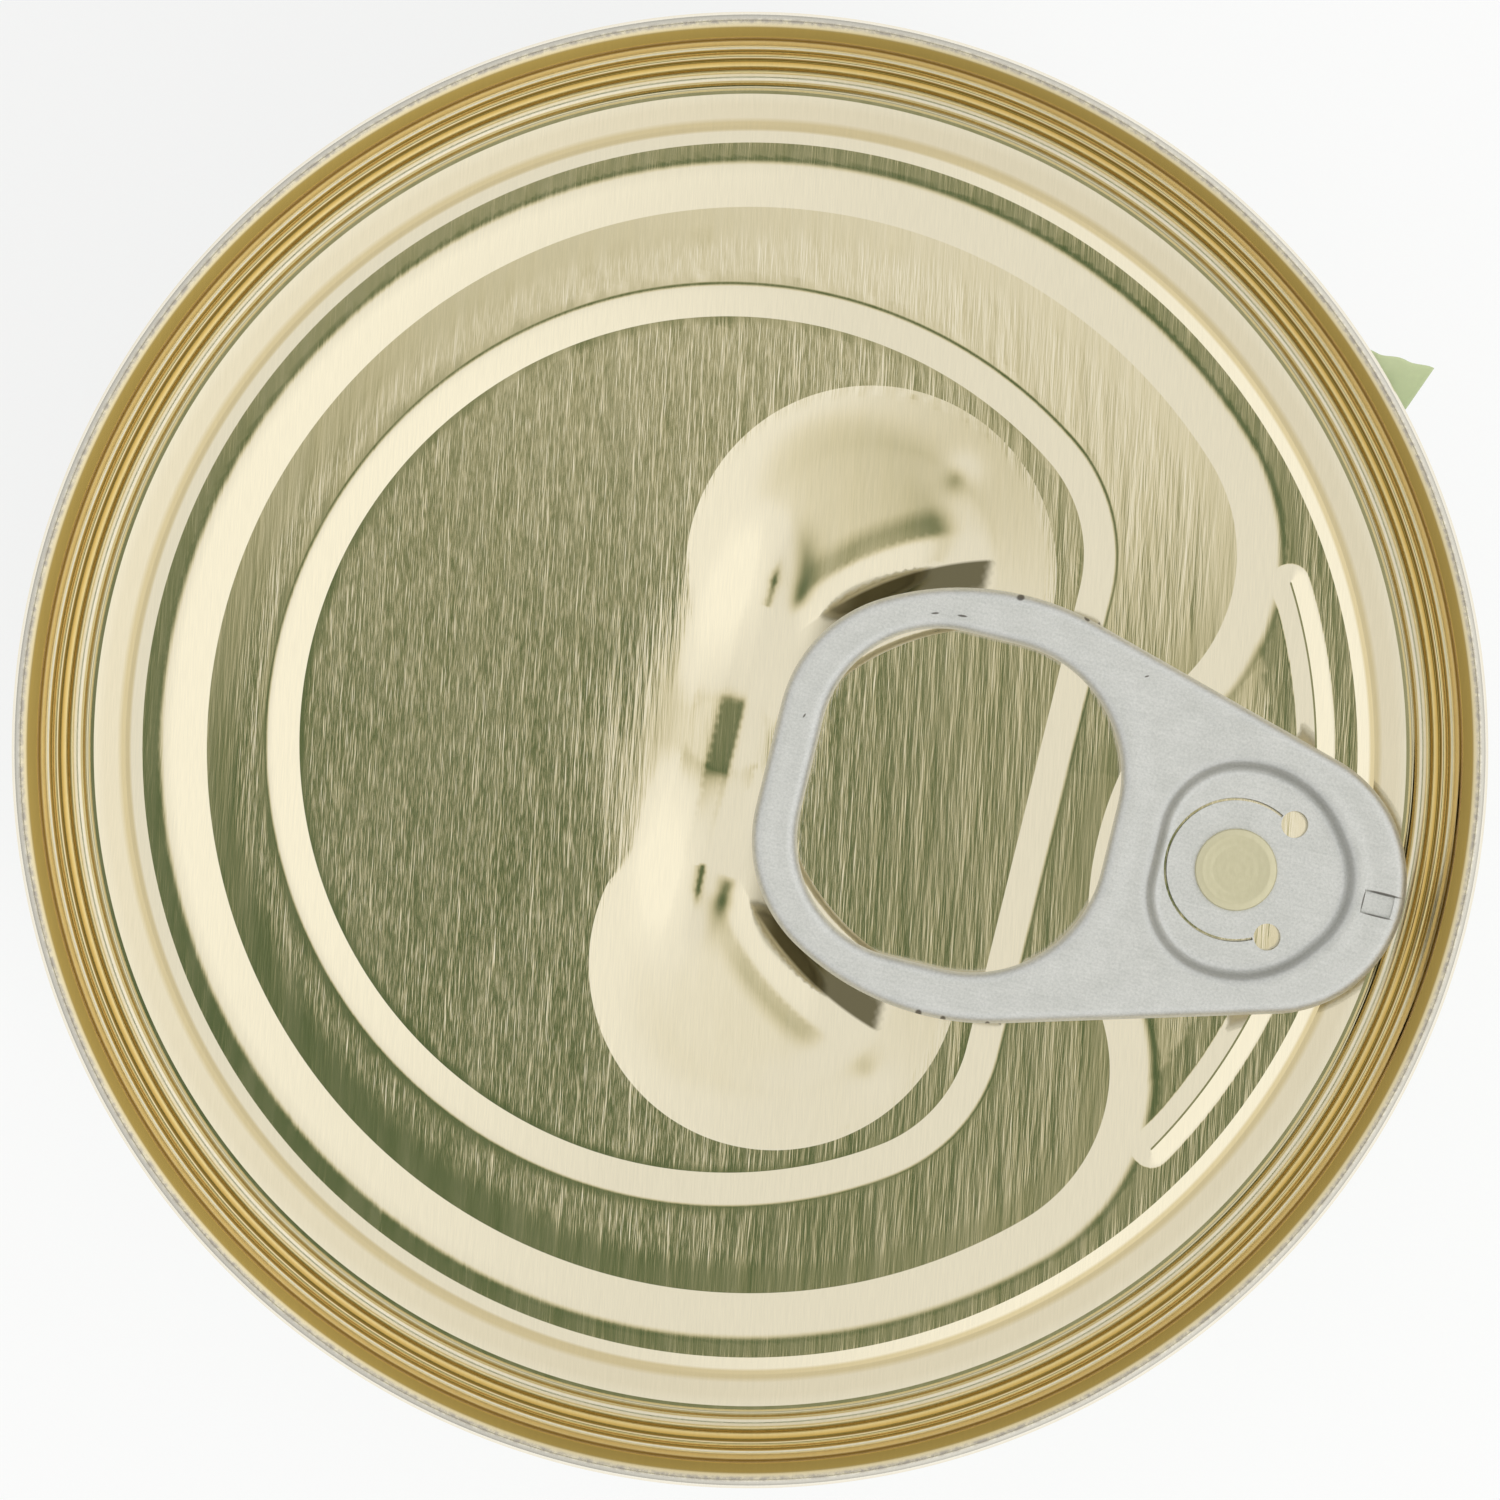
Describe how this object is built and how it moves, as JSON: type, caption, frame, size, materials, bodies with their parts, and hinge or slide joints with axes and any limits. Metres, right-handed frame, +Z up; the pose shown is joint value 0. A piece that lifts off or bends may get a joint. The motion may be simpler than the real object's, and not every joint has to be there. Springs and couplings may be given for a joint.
{
  "type": "food can",
  "caption": "Round tinplate food can of cut green beans, shut by double seams, with a ring-pull top end, stepped panel with finger wells, and a plain wrap-round paper label.",
  "frame": {"origin": "middle of the base, on the surface the can stands on", "axes": "+Z up along the can's axis, +X from the axis towards the rivet and nose of the pull tab"},
  "size_m": [0.0762, 0.0762, 0.11],
  "materials": {
    "tinplate": "bright tinplate, side wall",
    "lacquered_end": "satin rolled tinplate under a pale gold lacquer",
    "tab_metal": "satin silver-grey aluminium strip",
    "label_paper": null
  },
  "bodies": {
    "root": {"can_body": "tinplate", "top_end": "lacquered_end", "bottom_end": "lacquered_end", "pull_tab": "tab_metal", "label": "label_paper"}
  },
  "joints": []
}
